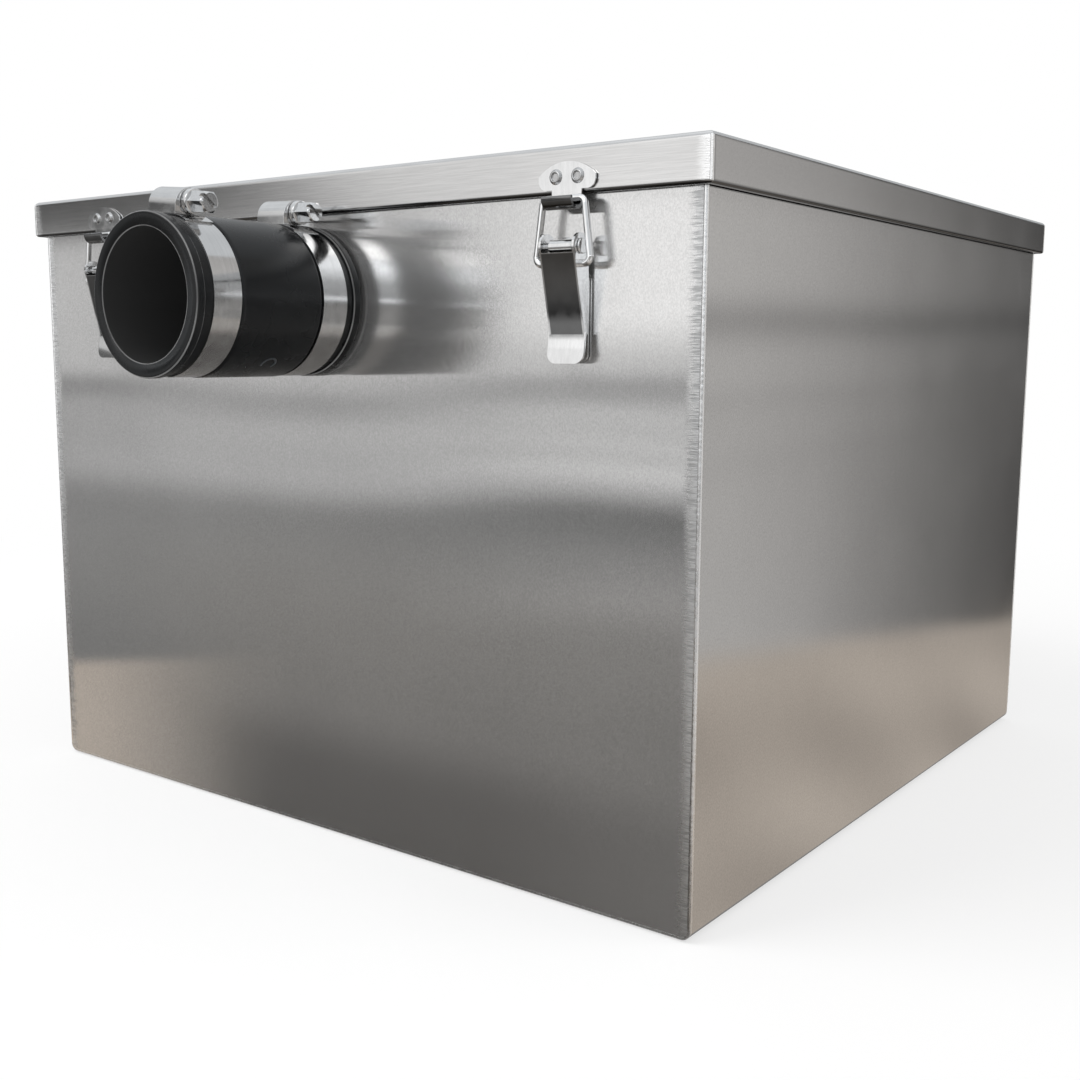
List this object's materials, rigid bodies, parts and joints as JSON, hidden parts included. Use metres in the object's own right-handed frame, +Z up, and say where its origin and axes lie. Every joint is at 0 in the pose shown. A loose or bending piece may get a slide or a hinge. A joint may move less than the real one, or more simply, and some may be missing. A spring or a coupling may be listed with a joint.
{
  "type": "grease trap",
  "caption": "Stainless box that settles grease out of kitchen waste water, with a lift-off lid on toggle latches, baffles, a strainer basket and clipped rubber pipe couplings.",
  "frame": {"origin": "middle of the tank's underside, on the floor", "axes": "+X right along the front panel, +Y from inlet to outlet, +Z up"},
  "size_m": [0.4084, 0.569, 0.3],
  "materials": {
    "tank_steel": "satin, fine vertical brushing, ground weld seams",
    "lid_steel": "satin, brushed along the skirt",
    "inner_steel": "dull mill finish",
    "latch_steel": "bright polished",
    "rivet_steel": "dull",
    "clip_steel": "bright rolled",
    "screw_steel": "bright plated",
    "coupling_rubber": "satin black",
    "gasket_rubber": "matt foam"
  },
  "bodies": {
    "root": {"tank_wrap": "tank_steel", "front_panel": "tank_steel", "rear_panel": "tank_steel", "lid": "lid_steel", "lid_gasket": "gasket_rubber", "inlet_spigot": "inner_steel", "outlet_spigot": "inner_steel", "inlet_coupling": "coupling_rubber", "outlet_coupling": "coupling_rubber", "inlet_baffle": "inner_steel", "outlet_baffle": "inner_steel", "basket_rails": "inner_steel", "strainer_basket": "inner_steel", "basket_handle": "inner_steel", "catch_rivets": "rivet_steel", "base_rivets": "rivet_steel", "inlet_outer_clip_band": "clip_steel", "inlet_outer_clip_housing": "clip_steel", "inlet_inner_clip_band": "clip_steel", "inlet_inner_clip_housing": "clip_steel", "outlet_outer_clip_band": "clip_steel", "outlet_outer_clip_housing": "clip_steel", "outlet_inner_clip_band": "clip_steel", "outlet_inner_clip_housing": "clip_steel", "front_left_catch_plate": "latch_steel", "front_left_latch_base": "latch_steel", "front_left_pivot_pin": "latch_steel", "front_right_catch_plate": "latch_steel", "front_right_latch_base": "latch_steel", "front_right_pivot_pin": "latch_steel", "rear_left_catch_plate": "latch_steel", "rear_left_latch_base": "latch_steel", "rear_left_pivot_pin": "latch_steel", "rear_right_catch_plate": "latch_steel", "rear_right_latch_base": "latch_steel", "rear_right_pivot_pin": "latch_steel"},
    "inlet_outer_clip_screw": {"inlet_outer_clip_screw": "screw_steel"},
    "inlet_inner_clip_screw": {"inlet_inner_clip_screw": "screw_steel"},
    "outlet_outer_clip_screw": {"outlet_outer_clip_screw": "screw_steel"},
    "outlet_inner_clip_screw": {"outlet_inner_clip_screw": "screw_steel"},
    "front_left_lever": {"front_left_lever": "latch_steel"},
    "front_left_bail": {"front_left_bail": "latch_steel"},
    "front_right_lever": {"front_right_lever": "latch_steel"},
    "front_right_bail": {"front_right_bail": "latch_steel"},
    "rear_left_lever": {"rear_left_lever": "latch_steel"},
    "rear_left_bail": {"rear_left_bail": "latch_steel"},
    "rear_right_lever": {"rear_right_lever": "latch_steel"},
    "rear_right_bail": {"rear_right_bail": "latch_steel"}
  },
  "joints": [
    {"name": "inlet_outer_clip_turn", "type": "hinge", "parent": "root", "child": "inlet_outer_clip_screw", "pos_m": [0.00325, -0.26925, 0.28161], "axis": [0.9962, 0, -0.0872], "continuous": true},
    {"name": "inlet_inner_clip_turn", "type": "hinge", "parent": "root", "child": "inlet_inner_clip_screw", "pos_m": [0.0013, -0.21175, 0.28173], "axis": [0.9994, 0, -0.0349], "continuous": true},
    {"name": "outlet_outer_clip_turn", "type": "hinge", "parent": "root", "child": "outlet_outer_clip_screw", "pos_m": [-0.00325, 0.26925, 0.26661], "axis": [-0.9962, 0, -0.0872], "continuous": true},
    {"name": "outlet_inner_clip_turn", "type": "hinge", "parent": "root", "child": "outlet_inner_clip_screw", "pos_m": [-0.0013, 0.21175, 0.26673], "axis": [-0.9994, 0, -0.0349], "continuous": true},
    {"name": "front_left_lever_swing", "type": "hinge", "parent": "root", "child": "front_left_lever", "pos_m": [-0.143, -0.2022, 0.2625], "axis": [-1, 0, 0], "range_deg": [0, 120]},
    {"name": "front_left_bail_swing", "type": "hinge", "parent": "front_left_lever", "child": "front_left_bail", "pos_m": [-0.143, -0.2022, 0.2561], "axis": [-1, 0, 0], "range_deg": [-111, 0]},
    {"name": "front_right_lever_swing", "type": "hinge", "parent": "root", "child": "front_right_lever", "pos_m": [0.143, -0.2022, 0.2625], "axis": [-1, 0, 0], "range_deg": [0, 120]},
    {"name": "front_right_bail_swing", "type": "hinge", "parent": "front_right_lever", "child": "front_right_bail", "pos_m": [0.143, -0.2022, 0.2561], "axis": [-1, 0, 0], "range_deg": [-111, 0]},
    {"name": "rear_left_lever_swing", "type": "hinge", "parent": "root", "child": "rear_left_lever", "pos_m": [-0.143, 0.2022, 0.2625], "axis": [1, 0, 0], "range_deg": [0, 120]},
    {"name": "rear_left_bail_swing", "type": "hinge", "parent": "rear_left_lever", "child": "rear_left_bail", "pos_m": [-0.143, 0.2022, 0.2561], "axis": [1, 0, 0], "range_deg": [-111, 0]},
    {"name": "rear_right_lever_swing", "type": "hinge", "parent": "root", "child": "rear_right_lever", "pos_m": [0.143, 0.2022, 0.2625], "axis": [1, 0, 0], "range_deg": [0, 120]},
    {"name": "rear_right_bail_swing", "type": "hinge", "parent": "rear_right_lever", "child": "rear_right_bail", "pos_m": [0.143, 0.2022, 0.2561], "axis": [1, 0, 0], "range_deg": [-111, 0]}
  ],
  "couplings": [
    {"joint": "front_left_bail_swing", "follows": "front_left_lever_swing", "ratio": -0.925},
    {"joint": "front_right_bail_swing", "follows": "front_right_lever_swing", "ratio": -0.925},
    {"joint": "rear_left_bail_swing", "follows": "rear_left_lever_swing", "ratio": -0.925},
    {"joint": "rear_right_bail_swing", "follows": "rear_right_lever_swing", "ratio": -0.925}
  ]
}
